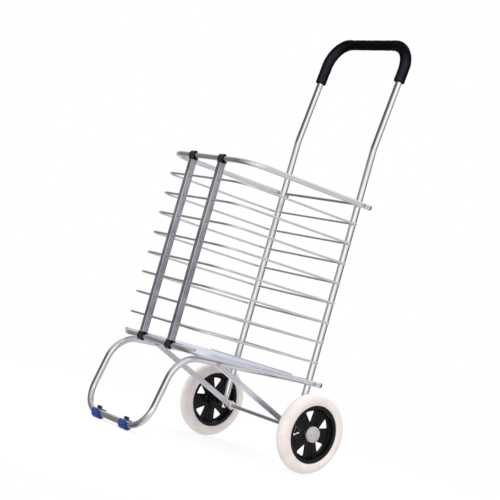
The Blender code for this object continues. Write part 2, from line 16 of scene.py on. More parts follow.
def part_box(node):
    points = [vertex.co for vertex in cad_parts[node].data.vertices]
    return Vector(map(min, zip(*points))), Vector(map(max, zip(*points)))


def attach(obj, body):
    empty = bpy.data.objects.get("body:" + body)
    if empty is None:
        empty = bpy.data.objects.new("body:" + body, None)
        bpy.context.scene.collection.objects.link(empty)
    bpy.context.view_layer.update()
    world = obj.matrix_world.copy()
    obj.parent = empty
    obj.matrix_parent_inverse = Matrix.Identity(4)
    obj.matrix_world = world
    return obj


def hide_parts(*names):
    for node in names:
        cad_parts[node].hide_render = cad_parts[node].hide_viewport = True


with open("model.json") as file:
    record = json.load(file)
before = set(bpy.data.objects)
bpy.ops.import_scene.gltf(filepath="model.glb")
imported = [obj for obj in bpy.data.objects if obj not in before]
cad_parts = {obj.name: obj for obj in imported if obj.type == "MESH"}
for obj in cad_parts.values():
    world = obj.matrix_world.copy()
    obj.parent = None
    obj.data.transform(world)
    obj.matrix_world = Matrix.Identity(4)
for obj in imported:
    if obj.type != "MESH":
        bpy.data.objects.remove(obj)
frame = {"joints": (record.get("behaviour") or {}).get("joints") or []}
scene = bpy.context.scene
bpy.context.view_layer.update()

LEFT = -1
RIGHT = 1
WAYS = (LEFT, RIGHT)
SIDES = ((LEFT, "left"), (RIGHT, "right"))
X_AXIS = Vector((1, 0, 0))
GAP = 0.0004


def pivot(name):
    return Vector(next(j for j in frame["joints"] if j["name"] == name)["pos_m"])


def middle(node):
    low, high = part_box(node)
    return (low + high) / 2


def span(node):
    """How far from the middle of the part a node starts and ends along X."""
    return sorted(abs(corner.x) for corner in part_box(node))


AXLE = middle("axle")
BASE_Z = pivot("basket_fold").z
TOP_Z = pivot("top_rail_fold").z
FRONT_Y = pivot("bars_fold").y
HINGE_Y = AXLE.y
RUNGS = range(1, 9)

TUBE_R = 0.0075
TUBE_WALL = 0.0012
UPRIGHT_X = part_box("axle_sleeve_right")[1].x + GAP + TUBE_R
UPRIGHT_FOOT = 0.011
FOOT_TAPER = 0.024
FOOT_TAPER_R = 0.0056
KINK_Z = 0.7275
KINK_BEND = 0.11
HANDLE_LEAN = radians(6.6)
HANDLE_RUN = 0.2494
HANDLE_BEND = 0.058

GRIP_R = 0.013
GRIP_BAR_R = 0.0117
GRIP_LEG_R = 0.0124
GRIP_END = 0.0035
GRIP_ROUND = 0.0026
GRIP_DROPS = {LEFT: 0.102, RIGHT: 0.09}

RUNG_R = 0.0025
RUNG_FRONT_BEND = 0.038
RUNG_BACK_BEND = 0.006
RING_R = 0.006
RING_WALL = 0.001
RING_BEND = 0.05
RING_TAIL = 0.0245
PLUG_OUT = 0.004
ROD_R = 0.003
ROD_HEAD_R = 0.0044
ROD_HEAD = 0.0018
HEAD_EDGE = 0.0006
ROD_END_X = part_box("top_cross_rod")[1].x
ARM_X = ROD_END_X - ROD_HEAD - GAP - RING_R

BAR_X = middle("front_bar_right").x
BAR_WIDTH = 0.012
BAR_DEPTH = 0.015
BAR_WALL = 0.0012
BAR_ROUND = 0.0016
CLIP_HALF = 0.0072
CLIP_IN = RING_R + GAP
CLIP_OUT = 0.0098
CLIP_BLOCK = 0.0098

SHEET = 0.0011
PLATE_SIDE = 0.1535
PLATE_TOP = 0.0075
PLATE_LIP = 0.001
PLATE_BEND = 0.0034
SLOT_HALF = 0.0078
SLOT_DEEP = 0.04
RIVET_HEAD_R = 0.0032
RIVET_HEAD = 0.0015
RIVET_R = 0.0016
RIVET_REACH = 0.006

STAND_R = 0.007
STAND_WALL = 0.0012
STAND_BACK_Y = 0.009
STAND_KNEE = (-0.3465, 0.1782)
STAND_TOE = (-0.3825, 0.013)
STAND_KNEE_BEND = 0.07
STAND_TOE_BEND = 0.054
FOOT_SOLE = 0.0126
FOOT_R = 0.0126

BRACE_X = middle("brace_right").x
STAND_X = BRACE_X + 0.0013 + GAP + STAND_R
BRACE_HALF = 0.0064
BRACE_THICK = 0.0026
EYE_R = 0.0088
BOLT = middle("brace_nut_right")
BOLT_R = 0.0025
BOLT_HEAD_R = 0.005
BOLT_HEAD = 0.0022
BOLT_EDGE = 0.0008
BOLT_END = 0.0016
NUT_R = 0.0054
LOCK_NUT_HEX_R = 0.0072
BORE_R = 0.0043
LOCK_NUT_R = 0.0107
SLEEVE_R = 0.008
SPACER_R = 0.0068

WHEEL_X = 0.1813
WHEEL_R = AXLE.z
SPOKES = 5
HUB_R = 0.0636
HUB_BORE_R = 0.0046
RIB_FROM = 0.0158
RIB_TO = 0.0555
RIB_SHIFT = 0.004
RIB_HEIGHT = 0.0042
WINDOW_TURNS = {LEFT: 0, RIGHT: radians(20)}

FINE = 28
THIN = 12
BEND_STEPS = 14
RUN_STEP = 0.014
LIP = 0.00035
WELD = 0.00003


# Materials

class Nodes:
    """Adds shader nodes to one tree."""

    def __init__(self, tree):
        self.tree = tree

    def connect(self, value, socket):
        if isinstance(value, bpy.types.NodeSocket):
            self.tree.links.new(value, socket)
        elif socket.type == "RGBA":
            socket.default_value = (*value, 1)
        else:
            socket.default_value = value

    def add(self, kind, settings=None, **inputs):
        """A node with its inputs set or linked; an underscore in an input's name stands for a space."""
        node = self.tree.nodes.new("ShaderNode" + kind)
        for setting, value in (settings or {}).items():
            setattr(node, setting, value)
        for name, value in inputs.items():
            self.connect(value, node.inputs[name.replace("_", " ")])
        return node

    def math(self, kind, first, second=0):
        node = self.add("Math", {"operation": kind})
        self.connect(first, node.inputs[0])
        self.connect(second, node.inputs[1])
        return node.outputs["Value"]

    def sharpen(self, value, low, high, to_low=0, to_high=1):
        """Carries a value smoothly from one range to another."""
        node = self.add("MapRange", {"interpolation_type": "SMOOTHSTEP"}, Value=value,
                        From_Min=low, From_Max=high, To_Min=to_low, To_Max=to_high)
        return node.outputs["Result"]

    def blend(self, share, first, second):
        """A colour between two colours or colour sockets."""
        node = self.add("Mix", {"data_type": "RGBA"}, Factor=share)
        colours = [socket for socket in node.inputs if socket.type == "RGBA"]
        self.connect(first, colours[0])
        self.connect(second, colours[1])
        return next(socket for socket in node.outputs if socket.type == "RGBA")

    def mix_shaders(self, share, first, second):
        node = self.add("MixShader", Fac=share)
        self.connect(first, node.inputs[1])
        self.connect(second, node.inputs[2])
        return node.outputs["Shader"]


class Look(Nodes):
    """A procedural Principled material. Its textures follow the pieces' own "flow" coordinates."""

    def __init__(self, name, colour, metallic=0, roughness=0.5, slot=None, **sockets):
        self.slot = slot or name
        self.material = bpy.data.materials.new(name)
        self.material.use_nodes = True
        super().__init__(self.material.node_tree)
        self.shader = self.tree.nodes["Principled BSDF"]
        sockets.update(Base_Color=colour, Metallic=metallic, Roughness=roughness)
        for socket, value in sockets.items():
            self.connect(value, self.shader.inputs[socket.replace("_", " ")])
        self.flow = self.add("Attribute", {"attribute_name": "flow"}).outputs["Vector"]

    def texture(self, kind, scale, **inputs):
        """A texture with scale features per metre, along each flow axis or along all three."""
        scale = scale if isinstance(scale, tuple) else (scale, scale, scale)
        vector = self.add("Mapping", Scale=scale, Vector=self.flow).outputs["Vector"]
        return self.add(kind, Vector=vector, Scale=1, **inputs)

    def noise(self, scale, detail=3, roughness=0.5, distortion=0):
        """Fractal noise from 0 to 1."""
        node = self.texture("TexNoise", scale, Detail=detail, Roughness=roughness, Distortion=distortion)
        return node.outputs["Fac"]

    def cells(self, scale):
        return self.texture("TexVoronoi", scale).outputs["Distance"]

    def wear(self, low, high):
        """1 along outer edges, from the surface's pointiness."""
        return self.sharpen(self.add("NewGeometry").outputs["Pointiness"], low, high)

    def colour(self, value):
        self.connect(value, self.shader.inputs["Base Color"])

    def roughness(self, value):
        self.connect(value, self.shader.inputs["Roughness"])

    def bump(self, height, distance, strength):
        node = self.add("Bump", Strength=strength, Distance=distance, Height=height)
        normal = self.shader.inputs["Normal"]
        if normal.is_linked:
            self.connect(normal.links[0].from_socket, node.inputs["Normal"])
        self.connect(node.outputs["Normal"], normal)


def drawn_metal(name, light, dark, smooth_to, rough_to, metallic=1, slot=None):
    """Drawn aluminium: fine lines along the tube, soft blotches of oxide, a few scuffs."""
    look = Look(name, light, metallic, smooth_to, slot)
    lines = look.noise((900, 900, 7), roughness=0.6)
    blotches = look.noise((22, 22, 14), detail=4, roughness=0.55)
    scuffs = look.sharpen(look.noise((160, 160, 420), detail=5, roughness=0.7), 0.63, 0.72)
    cloudy = look.blend(look.sharpen(blotches, 0.35, 0.7), light, dark)
    look.colour(look.blend(look.math("MULTIPLY", scuffs, 0.5), cloudy, tuple(0.72 * part for part in dark)))
    base = look.sharpen(lines, 0.3, 0.75, smooth_to, rough_to)
    base = look.math("ADD", base, look.sharpen(blotches, 0.4, 0.75, 0, 0.06))
    look.roughness(look.math("ADD", base, look.math("MULTIPLY", scuffs, 0.16)))
    look.bump(lines, 0.00004, 0.5)
    look.bump(blotches, 0.0006, 0.25)
    return look


def satin_sheet():
    """Bluish anodised sheet, brushed along the basket, with handling marks."""
    light = (0.74, 0.76, 0.88)
    look = Look("satin_sheet", light, metallic=0.75, roughness=0.4)
    brush = look.noise((900, 14, 900), detail=4, roughness=0.65)
    haze = look.noise((14, 10, 14), detail=4, distortion=0.4)
    marks = look.sharpen(look.noise((60, 260, 60), detail=5, roughness=0.75), 0.62, 0.7)
    tone = look.blend(look.sharpen(haze, 0.3, 0.7), light, (0.66, 0.68, 0.8))
    look.colour(look.blend(look.math("MULTIPLY", marks, 0.6), tone, (0.42, 0.42, 0.47)))
    base = look.sharpen(brush, 0.3, 0.7, 0.32, 0.46)
    look.roughness(look.math("ADD", base, look.math("MULTIPLY", marks, 0.1)))
    look.bump(brush, 0.00005, 0.6)
    look.bump(haze, 0.0004, 0.3)
    return look


def plated_steel(name, light, dark, roughness):
    """Zinc plate: small crystals, dull patches and worn bright edges."""
    look = Look(name, light, 1, roughness, "steel")
    crystals = look.cells(900)
    patches = look.noise(180, detail=4, roughness=0.6)
    tone = look.blend(look.sharpen(patches, 0.35, 0.65), light, dark)
    look.colour(look.blend(look.math("MULTIPLY", look.wear(0.52, 0.6), 0.5), tone, (0.86, 0.86, 0.88)))
    grain = look.sharpen(crystals, 0.1, 0.8, 0, 0.12)
    base = look.sharpen(patches, 0.3, 0.7, roughness - 0.06, roughness + 0.08)
    look.roughness(look.math("ADD", grain, base))
    look.bump(crystals, 0.00006, 0.4)
    return look


def foam():
    """Closed-cell foam: a dull skin of tiny cells, rubbed in places, with a painted highlight that makes its
    colour lightest where it faces the eye.
    """
    look = Look("black_foam", (0.01, 0.01, 0.012), roughness=0.62, Specular_IOR_Level=0.04)
    cells = look.cells(1500)
    coarse = look.noise(420, detail=5, roughness=0.7)
    rubbed = look.noise((30, 30, 18))
    # Painted highlight: the base colour goes from the dark tone to a lighter bluish grey where the surface
    # faces the camera, stronger on the rubbed patches.
    facing = look.add("LayerWeight", Blend=0.5)
    painted_highlight = look.sharpen(facing.outputs["Facing"], 0, 0.34, 1, 0)
    painted_highlight = look.math("MULTIPLY", painted_highlight, look.sharpen(rubbed, 0.25, 0.75, 0.65, 1))
    tone = look.blend(look.sharpen(coarse, 0.35, 0.75), (0.0012, 0.001, 0.0022), (0.003, 0.0026, 0.0045))
    look.colour(look.blend(painted_highlight, tone, (0.022, 0.02, 0.028)))
    look.roughness(look.sharpen(rubbed, 0.35, 0.75, 0.66, 0.5))
    look.bump(coarse, 0.0004, 0.4)
    look.bump(cells, 0.0003, 0.5)
    return look


def moulded(name, colour, lighter, roughness, grain=0.0001, **sockets):
    """Injection-moulded plastic: fine spark texture, flow marks and slightly polished edges."""
    look = Look(name, colour, roughness=roughness, **sockets)
    spark = look.noise(1800, roughness=0.6)
    flow_marks = look.noise((60, 60, 90), detail=4, roughness=0.6, distortion=0.8)
    rubbed = look.math("MULTIPLY", look.wear(0.51, 0.58), 0.6)
    tone = look.blend(look.sharpen(flow_marks, 0.3, 0.7), colour, lighter)
    look.colour(look.blend(rubbed, tone, tuple(min(1, 1.4 * part + 0.004) for part in lighter)))
    base = look.sharpen(flow_marks, 0.3, 0.7, roughness - 0.05, roughness + 0.07)
    look.roughness(look.math("SUBTRACT", base, look.math("MULTIPLY", rubbed, 0.12)))
    look.bump(spark, grain, 0.5)
    return look


def hub_black():
    """Glossy black hub plastic with a clear skin, faint dust in its corners and hairline scratches."""
    look = Look("gloss_black", (0.004, 0.003, 0.005), roughness=0.25, Specular_IOR_Level=0.22,
                Coat_Weight=0.08, Coat_Roughness=0.1)
    waves = look.noise(45)
    dust = look.sharpen(look.noise(260, detail=5, roughness=0.75), 0.52, 0.7)
    scratches = look.sharpen(look.noise((60, 1400, 90), roughness=0.8), 0.66, 0.7)
    tone = look.blend(look.math("MULTIPLY", dust, 0.5), (0.003, 0.0022, 0.0042), (0.008, 0.0062, 0.0105))
    look.colour(look.blend(look.math("MULTIPLY", scratches, 0.4), tone, (0.02, 0.02, 0.023)))
    base = look.sharpen(waves, 0.3, 0.7, 0.18, 0.3)
    look.roughness(look.math("ADD", base, look.math("MULTIPLY", dust, 0.18)))
    look.bump(waves, 0.0008, 0.25)
    look.bump(scratches, 0.00003, 0.5)
    return look


def tyre_rubber():
    """Off-white solid tyre: cloudy pinkish and yellowish patches, a matt skin with pores and scuffs."""
    look = Look("pale_tyre", (0.8, 0.75, 0.73), roughness=0.62, Subsurface_Weight=0.08,
                Subsurface_Scale=0.004, Subsurface_Radius=(1, 0.8, 0.7))
    clouds = look.noise(34, detail=4, roughness=0.55, distortion=0.6)
    warm = look.noise(22, detail=2)
    pores = look.noise(900, detail=4, roughness=0.7)
    scuffs = look.sharpen(look.noise((300, 60, 60), detail=6, roughness=0.75), 0.6, 0.74)
    tone = look.blend(look.sharpen(clouds, 0.32, 0.68), (0.8, 0.735, 0.715), (0.7, 0.63, 0.62))
    tone = look.blend(look.sharpen(warm, 0.42, 0.75, 0, 0.6), tone, (0.79, 0.755, 0.69))
    look.colour(look.blend(look.math("MULTIPLY", scuffs, 0.35), tone, (0.58, 0.55, 0.53)))
    look.roughness(look.sharpen(clouds, 0.3, 0.7, 0.55, 0.7))
    look.bump(clouds, 0.0012, 0.3)
    look.bump(pores, 0.00015, 0.5)
    return look


ALUMINIUM = drawn_metal("aluminium_tube", (0.88, 0.88, 0.9), (0.8, 0.8, 0.83), 0.09, 0.17)
WIRE = drawn_metal("aluminium_wire", (0.84, 0.84, 0.85), (0.72, 0.72, 0.74), 0.2, 0.32)
FLAT_METAL = drawn_metal("flat_aluminium", (0.9, 0.9, 0.95), (0.66, 0.66, 0.74), 0.22, 0.34, 0.76,
                         "aluminium_tube")
# The front bars get a darker copy of the tube aluminium: painted shade.
SHADED_BAR_METAL = drawn_metal("bar_aluminium_painted_shade", (0.64, 0.62, 0.66), (0.3, 0.28, 0.32), 0.14, 0.26,
                        slot="aluminium_tube")
SHEET_METAL = satin_sheet()
STEEL = plated_steel("steel", (0.66, 0.66, 0.68), (0.5, 0.5, 0.52), 0.3)
# A lit copy of the plated steel, much brighter, for the lock nuts and rivet heads: painted highlight.
LIT_STEEL = plated_steel("steel_painted_highlight", (0.96, 0.96, 0.97), (0.88, 0.88, 0.9), 0.22)
AXLE_STEEL = plated_steel("axle_steel", (0.4, 0.4, 0.39), (0.3, 0.3, 0.29), 0.36)
FOAM = foam()
BLACK_PLASTIC = moulded("black_plastic", (0.004, 0.004, 0.006), (0.008, 0.008, 0.011), 0.3,
                        Specular_IOR_Level=0.4)
# A darker copy of the blue plastic for the feet's ribs, tab and strap: painted shade.
SHADED_BLUE_PLASTIC = moulded("blue_plastic_painted_shade", (0.004, 0.008, 0.03), (0.006, 0.012, 0.045), 0.3,
                       Specular_IOR_Level=0.4, slot="blue_plastic")
BLUE_PLASTIC = moulded("blue_plastic", (0.006, 0.026, 0.15), (0.01, 0.04, 0.21), 0.3,
                       Specular_IOR_Level=0.45)
GREY_PLASTIC = moulded("grey_plastic", (0.42, 0.385, 0.4), (0.5, 0.46, 0.475), 0.42, grain=0.00006)
HUB_BLACK = hub_black()
TYRE = tyre_rubber()


# Shapes

def fillet(before, corner, after, radius, steps):
    """Points of the arc that rounds one corner of a path."""
    into = (before - corner).normalized()
    out = (after - corner).normalized()
    half = into.angle(out) / 2
    reach = radius / tan(half)
    centre = corner + (into + out).normalized() * radius / sin(half)
    start = corner + into * reach - centre
    axis = start.cross(corner + out * reach - centre).normalized()
    turn = pi - 2 * half
    return [centre + Matrix.Rotation(turn * i / steps, 3, axis) @ start for i in range(steps + 1)]


def both_sides(right):
    """A path's right half with its left half after it, mirrored in X and reversed."""
    return right + [Vector((-x, y, z)) for x, y, z in reversed(right)]


def rounded_path(corners, radii, steps=BEND_STEPS, closed=False):
    """The corners joined by straight runs, with an arc at each one that has a radius."""
    corners = [Vector(corner) for corner in corners]
    points = []
    for i, (corner, radius) in enumerate(zip(corners, radii)):
        if (not closed and i in (0, len(corners) - 1)) or not radius:
            points.append(corner)
        else:
            points += fillet(corners[i - 1], corner, corners[(i + 1) % len(corners)], radius, steps)
    return points


def filled(points, step=RUN_STEP, closed=False):
    """The path with its long runs cut into short ones."""
    out = []
    pairs = zip(points, points[1:] + points[:1] if closed else points[1:])
    for first, second in pairs:
        parts = max(1, ceil((second - first).length / step))
        out += [first.lerp(second, i / parts) for i in range(parts)]
    return out if closed else out + [points[-1]]


def circle(radius, steps):
    turns = [tau * i / steps for i in range(steps)]
    return [(radius * cos(turn), radius * sin(turn)) for turn in turns]


def rounded_box(half_u, half_v, radius, steps):
    """A rectangle's outline with rounded corners, counter-clockwise."""
    points = []
    for quarter, (su, sv) in enumerate(((1, 1), (-1, 1), (-1, -1), (1, -1))):
        for i in range(steps + 1):
            turn = (quarter + i / steps) * pi / 2
            u = su * (half_u - radius) + radius * cos(turn)
            points.append((u, sv * (half_v - radius) + radius * sin(turn)))
    return points


def inset(outline, amount):
    """The counter-clockwise outline moved inward by an amount."""
    if not amount:
        return outline
    count = len(outline)
    out = []
    for i in range(count):
        (px, py), (x, y), (nx, ny) = outline[i - 1], outline[i], outline[(i + 1) % count]
        before = Vector((x - px, y - py)).normalized()
        after = Vector((nx - x, ny - y)).normalized()
        way = before + after
        way = way.normalized() if way.length > 1e-6 else before
        out.append((x - way.y * amount, y + way.x * amount))
    return out


class Shell:
    """Points and faces of one piece, with the coordinates that its material follows."""

    def __init__(self):
        self.points, self.faces, self.flow = [], [], []

    def loft(self, rows, flows=None, along=False, caps=True):
        """Joins closed rows of points. along closes the row of rows, caps fills both ends."""
        start = len(self.points)
        count = len(rows[0])
        for row, flow in zip(rows, flows or rows):
            self.points += [tuple(point) for point in row]
            self.flow += [tuple(point) for point in flow]
        for r in range(len(rows) if along else len(rows) - 1):
            here = start + r * count
            there = start + (r + 1) % len(rows) * count
            for i in range(count):
                j = (i + 1) % count
                self.faces.append((here + i, here + j, there + j, there + i))
        if caps and not along:
            last = start + (len(rows) - 1) * count
            self.faces.append(tuple(range(start + count - 1, start - 1, -1)))
            self.faces.append(tuple(range(last, last + count)))
        return self

    def mesh(self, name):
        mesh = bpy.data.meshes.new(name)
        mesh.from_pydata(self.points, [], self.faces)
        flow = mesh.attributes.new("flow", "FLOAT_VECTOR", "POINT")
        flow.data.foreach_set("vector", [part for point in self.flow for part in point])
        bm = bmesh.new()
        bm.from_mesh(mesh)
        bmesh.ops.remove_doubles(bm, verts=bm.verts, dist=WELD)
        bmesh.ops.delete(bm, geom=[edge for edge in bm.edges if not edge.link_faces], context="EDGES")
        bmesh.ops.recalc_face_normals(bm, faces=bm.faces)
        bm.to_mesh(mesh)
        bm.free()
        return mesh


def frames_along(points, closed=False):
    """(point, side, up, distance) along a path, turned as little as possible from one point to the next."""
    before = [points[-1 if closed else 0], *points[:-1]]
    after = [*points[1:], points[0 if closed else -1]]
    ways = [(end - start).normalized() for start, end in zip(before, after)]
    guess = X_AXIS if abs(ways[0].x) < 0.9 else Vector((0, 0, 1))
    side = (guess - ways[0] * guess.dot(ways[0])).normalized()
    out = []
    distance = 0
    for i, way in enumerate(ways):
        if i:
            distance += (points[i] - points[i - 1]).length
            side = ways[i - 1].rotation_difference(way) @ side
            side = (side - way * side.dot(way)).normalized()
        out.append((points[i], side, way.cross(side), distance))
    return out


def sweep(shell, points, section, closed=False, ends=None):
    """Carries a section of (u, v) along a path. ends is the bevel at its closed ends."""
    places = [(*place, 0) for place in frames_along(points, closed)]
    if ends:
        places = bevelled_ends(places, ends)
    rows, flows = [], []
    for point, side, up, distance, shrink in places:
        shape = inset(section, shrink)
        rows.append([point + side * u + up * v for u, v in shape])
        flows.append([(u, v, distance) for u, v in shape])
    return shell.loft(rows, flows, along=closed)


def bevelled_ends(places, bevel):
    """Adds a smaller section at each end, so that the end has a small bevel."""
    out = []
    for index, inner in ((0, 1), (-1, -2)):
        point, side, up, distance, _ = places[index]
        way = (places[inner][0] - point).normalized()
        out.append(((point, side, up, distance, bevel), (point + way * bevel, side, up, distance, 0)))
    return [out[0][0], out[0][1], *places[1:-1], out[1][1], out[1][0]]


def tube(shell, points, radius, wall, steps=FINE, depth=0.018, shape=None):
    """A round tube whose open ends show its wall and a dark inside. shape(distance) is its outer radius."""
    def outer(distance):
        return shape(distance) if shape else radius

    def mouth(place, into):
        full = outer(place[3])
        inner = full - wall
        spots = [(depth, inner * 0.2), (depth, inner), (LIP, inner), (0, inner + LIP)]
        spots += [(0, full - LIP), (LIP, full)]
        return [(place, into * shift, size) for shift, size in spots]

    first, *between, last = frames_along(points)
    spots = mouth(first, 1) + [(place, 0, outer(place[3])) for place in between] + mouth(last, -1)[::-1]
    rows, flows = [], []
    for (point, side, up, distance), shift, size in spots:
        centre = point + side.cross(up) * shift
        loop = circle(size, steps)
        rows.append([centre + side * u + up * v for u, v in loop])
        flows.append([(u, v, distance + shift) for u, v in loop])
    return shell.loft(rows, flows)


def dome(radius, height, face):
    """A head's rounded face as (radius, out), from its middle to its rim."""
    turns = [pi / 2 * i / 6 for i in range(7)]
    return [(radius * cos(turn), face + height * sin(turn)) for turn in reversed(turns)]


def lathe(shell, profile, centre, steps, side=RIGHT):
    """Turns a closed profile of (radius, out) about X; out points away from the middle of the part."""
    rows, flows = [], []
    for i in range(steps):
        turn = tau * i / steps
        ray = Vector((0, cos(turn), sin(turn)))
        rows.append([centre + X_AXIS * (side * out) + ray * max(radius, 1e-5) for radius, out in profile])
        flows.append([X_AXIS * out + ray * radius for radius, out in profile])
    return shell.loft(rows, flows, along=True, caps=False)


def slab(shell, outline, place, x_from, x_to, bevel):
    """An outline of (y, z) given thickness along X, with bevelled edges."""
    low, high = sorted((x_from, x_to))
    rows = []
    for x, shrink in ((low, bevel), (low + bevel, 0), (high - bevel, 0), (high, bevel)):
        shape = inset(outline, shrink)
        rows.append([Vector((x, place.y + y, place.z + z)) for y, z in shape])
    return shell.loft(rows)


def mirrored(profile):
    """A profile's right half with its left half after it."""
    return profile + [(radius, -out) for radius, out in reversed(profile)]


def collar(shell, centre, inner, outer, height, way, steps=16, sunk=0.0006):
    """A small raised rim round a hole that faces along X."""
    profile = [(outer, -sunk), (outer, height * 0.4), (outer - height * 0.6, height)]
    profile += [(inner + height * 0.5, height), (inner, height * 0.4), (inner, -sunk)]
    lathe(shell, profile, centre, steps, way)


def add_object(name, data):
    obj = bpy.data.objects.new(name, data)
    scene.collection.objects.link(obj)
    return obj


def piece(node, kind, shell, look, body="frame", sharp=38, name=None):
    """Makes the object, puts it on its body and lets it stand for its CAD node. It is named node_kind."""
    name = name or f"{node}_{kind}"
    mesh = shell.mesh(name) if isinstance(shell, Shell) else shell
    mesh.materials.clear()
    mesh.materials.append(look.material)
    mesh.shade_smooth()
    mesh.set_sharp_from_angle(angle=radians(sharp))
    obj = add_object(name, mesh)
    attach(obj, body)
    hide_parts(node)
    return obj


def carved(shell, cutters, name):
    """The shell's mesh with the cutters' shells taken out of it."""
    shapes = enumerate((shell, *cutters))
    objects = [add_object(f"{name}_{i}", shape.mesh(f"{name}_{i}")) for i, shape in shapes]
    for cutter in objects[1:]:
        modifier = objects[0].modifiers.new("Cut", "BOOLEAN")
        modifier.operation = "DIFFERENCE"
        modifier.solver = "EXACT"
        modifier.object = cutter
    graph = bpy.context.evaluated_depsgraph_get()
    mesh = bpy.data.meshes.new_from_object(objects[0].evaluated_get(graph))
    for obj in objects:
        bpy.data.objects.remove(obj)
    return mesh


# Frame

def smooth_step(low, high, value):
    share = min(1, max(0, (value - low) / (high - low)))
    return share * share * (3 - 2 * share)


def handle_corners(foot_z):
    kink = Vector((UPRIGHT_X, HINGE_Y, KINK_Z))
    top = kink + Vector((0, sin(HANDLE_LEAN), cos(HANDLE_LEAN))) * HANDLE_RUN
    return both_sides([Vector((UPRIGHT_X, HINGE_Y, foot_z)), kink, top])


def rung_z(number):
    return pivot(f"rung_{number}_fold").z


def build_handle():
    radii = (0, KINK_BEND, HANDLE_BEND, HANDLE_BEND, KINK_BEND, 0)
    path = filled(rounded_path(handle_corners(AXLE.z - UPRIGHT_FOOT), radii))
    length = sum((b - a).length for a, b in zip(path, path[1:]))

    def outer(distance):
        near_end = min(distance, length - distance)
        full = smooth_step(FOOT_TAPER * 0.4, FOOT_TAPER * 1.5, near_end)
        return FOOT_TAPER_R + (TUBE_R - FOOT_TAPER_R) * full

    shell = tube(Shell(), path, TUBE_R, TUBE_WALL, shape=outer)
    for side, number, way in product(WAYS, RUNGS, WAYS):
        spot = Vector((side * UPRIGHT_X + way * (TUBE_R - 0.0004), HINGE_Y, rung_z(number)))
        collar(shell, spot, RUNG_R, 0.0037, 0.0008, way, sunk=0.0012)
    piece("handle_frame", "tube", shell, ALUMINIUM, name="handle_tube")


def build_grip():
    kink, right, left = handle_corners(AXLE.z)[1:4]
    drop = (kink - right).normalized()
    path = [right + drop * GRIP_DROPS[RIGHT], right, left, left + drop * GRIP_DROPS[LEFT]]
    path = filled(rounded_path(path, (0, HANDLE_BEND, HANDLE_BEND, 0), 20), 0.004)
    length = sum((b - a).length for a, b in zip(path, path[1:]))

    def outer(distance):
        near_end = min(distance, length - distance)
        end = RIGHT if distance < length / 2 else LEFT
        bend_from = GRIP_DROPS[end] - HANDLE_BEND
        bend_to = bend_from + HANDLE_BEND * pi / 2
        on_bar = smooth_step(bend_to - 0.02, bend_to + 0.012, near_end)
        on_bend = smooth_step(bend_from - 0.01, bend_from + 0.02, near_end) * (1 - on_bar)
        full = GRIP_LEG_R + (GRIP_R - GRIP_LEG_R) * on_bend + (GRIP_BAR_R - GRIP_LEG_R) * on_bar
        full += 0.00012 * sin(distance * 310) + 0.0001 * sin(distance * 137 + 1)
        rest = max(0, 1 - near_end / GRIP_END)
        return min(GRIP_R, full) - GRIP_ROUND * (1 - sqrt(max(0, 1 - rest * rest)))

    extra = [path[0].lerp(path[1], share) for share in (0.08, 0.2, 0.4, 0.65)]
    tail = [path[-1].lerp(path[-2], share) for share in (0.65, 0.4, 0.2, 0.08)]
    path = [path[0], *extra, *path[1:-1], *tail, path[-1]]
    wall = GRIP_LEG_R - GRIP_ROUND - TUBE_R - 0.0003
    shell = tube(Shell(), path, GRIP_R, wall, 36, depth=0.004, shape=outer)
    grip = piece("foam_grip", "foam", shell, FOAM, sharp=60, name="grip_foam")


def build_cross_rod(name, z):
    head = ROD_END_X - ROD_HEAD
    profile = dome(ROD_HEAD_R, ROD_HEAD - HEAD_EDGE, head + HEAD_EDGE) + [(ROD_HEAD_R, head), (ROD_R, head)]
    piece(name, "steel", lathe(Shell(), mirrored(profile), Vector((0, HINGE_Y, z)), 24), STEEL)


def build_stand():
    knee_y, knee_z = STAND_KNEE
    toe_y, toe_z = STAND_TOE
    end_z = BASE_Z + (knee_z - BASE_Z) / knee_y * STAND_BACK_Y
    spots = ((STAND_BACK_Y, end_z), (knee_y, knee_z), (toe_y, toe_z))
    corners = both_sides([(STAND_X, HINGE_Y + y, z) for y, z in spots])
    radii = (0, STAND_KNEE_BEND, STAND_TOE_BEND, STAND_TOE_BEND, STAND_KNEE_BEND, 0)
    shell = tube(Shell(), filled(rounded_path(corners, radii)), STAND_R, STAND_WALL)
    piece("stand_loop", "tube", shell, ALUMINIUM, name="stand_tube")


def foot_outline():
    """A saddle open on top: a flat sole below, walls that thin toward its lips."""
    inner = STAND_R + GAP
    turns = [radians(-128 + 256 * i / 24) for i in range(25)]
    outer = []
    for turn in turns:
        radius = min(FOOT_SOLE / max(cos(turn), 0.5), FOOT_R)
        outer.append((radius * sin(turn), -radius * cos(turn)))
    bore = [(inner * sin(turn), -inner * cos(turn)) for turn in turns]
    return outer + bore[::-1]


def build_foot(side, word):
    """A blue saddle under the stand's floor tube, with ribs, an upright tab and a strap in a darker copy of
    the blue plastic, as painted shade.
    """
    node = f"foot_{word}"
    low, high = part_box(node)
    centre = Vector((0, (low.y + high.y) / 2, STAND_TOE[1]))
    shell = slab(Shell(), foot_outline(), centre, low.x, high.x, 0.0006)
    piece(node, "shoe", shell, BLUE_PLASTIC)
    trim = Shell()
    outside, inside = (high.x, low.x) if side > 0 else (low.x, high.x)
    rib = inset(foot_outline(), -0.0004)
    for x in (outside - side * 0.0026, inside + side * 0.0012):
        slab(trim, rib, centre, x - 0.0009, x + 0.0009, 0.0003)
    top = STAND_R + GAP
    tab = [(-0.0018, top), (0.0018, top), (0.002, top + 0.0062), (0.001, top + 0.007)]
    tab.append((-0.0014, top + 0.0064))
    slab(trim, tab, centre, low.x + 0.0008, high.x - 0.005, 0.0003)
    strap = [(0.0006 + u, top + 0.0008 + v) for u, v in circle(0.0009, 12)]
    slab(trim, strap, centre, low.x + 0.004, high.x + 0.0085, 0.0004)
    # Painted shade: the ribs, tab and strap use the darker copy of the blue plastic.
    piece(node, "lips", trim, SHADED_BLUE_PLASTIC)


